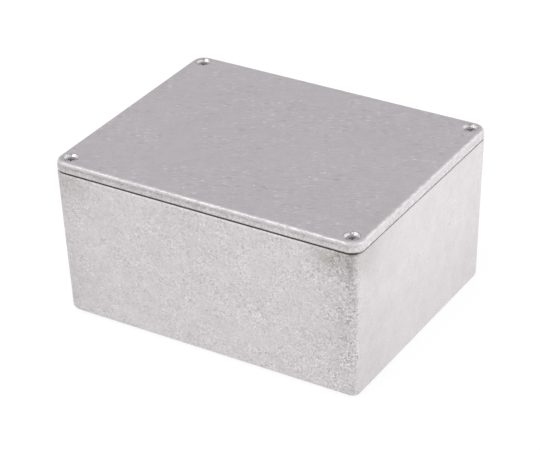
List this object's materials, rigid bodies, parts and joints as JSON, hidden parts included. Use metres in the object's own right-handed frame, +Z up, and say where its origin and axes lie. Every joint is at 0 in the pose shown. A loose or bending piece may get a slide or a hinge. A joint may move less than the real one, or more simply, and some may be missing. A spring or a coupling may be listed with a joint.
{
  "type": "die cast aluminium box",
  "caption": "Die cast aluminium enclosure with drafted walls, rounded corners, inside card guides and a lift-off lid held by countersunk corner screws.",
  "frame": {"origin": "middle of the flat base, on the surface the box stands on", "axes": "+X along the length, +Y along the width towards the back, +Z up towards the lid"},
  "size_m": [0.121, 0.095, 0.0614],
  "materials": {
    "cast_body": "tumbled casting, fine grain",
    "cast_lid": "satin casting with fine scratches",
    "screw_steel": "dull zinc plated"
  },
  "bodies": {
    "box": {"box_body": "cast_body"},
    "cover": {"lid": "cast_lid"},
    "screw_front_left": {"lid_screw_front_left": "screw_steel"},
    "screw_front_right": {"lid_screw_front_right": "screw_steel"},
    "screw_back_left": {"lid_screw_back_left": "screw_steel"},
    "screw_back_right": {"lid_screw_back_right": "screw_steel"}
  },
  "joints": [
    {"name": "lid_lift", "type": "slide", "parent": "box", "child": "cover", "axis": [0, 0, 1], "range_m": [0, 0.07]},
    {"name": "front_left_screw_out", "type": "slide", "parent": "cover", "child": "screw_front_left", "axis": [0, 0, 1], "range_m": [0, 0.009]},
    {"name": "front_right_screw_out", "type": "slide", "parent": "cover", "child": "screw_front_right", "axis": [0, 0, 1], "range_m": [0, 0.009]},
    {"name": "back_left_screw_out", "type": "slide", "parent": "cover", "child": "screw_back_left", "axis": [0, 0, 1], "range_m": [0, 0.009]},
    {"name": "back_right_screw_out", "type": "slide", "parent": "cover", "child": "screw_back_right", "axis": [0, 0, 1], "range_m": [0, 0.009]}
  ]
}
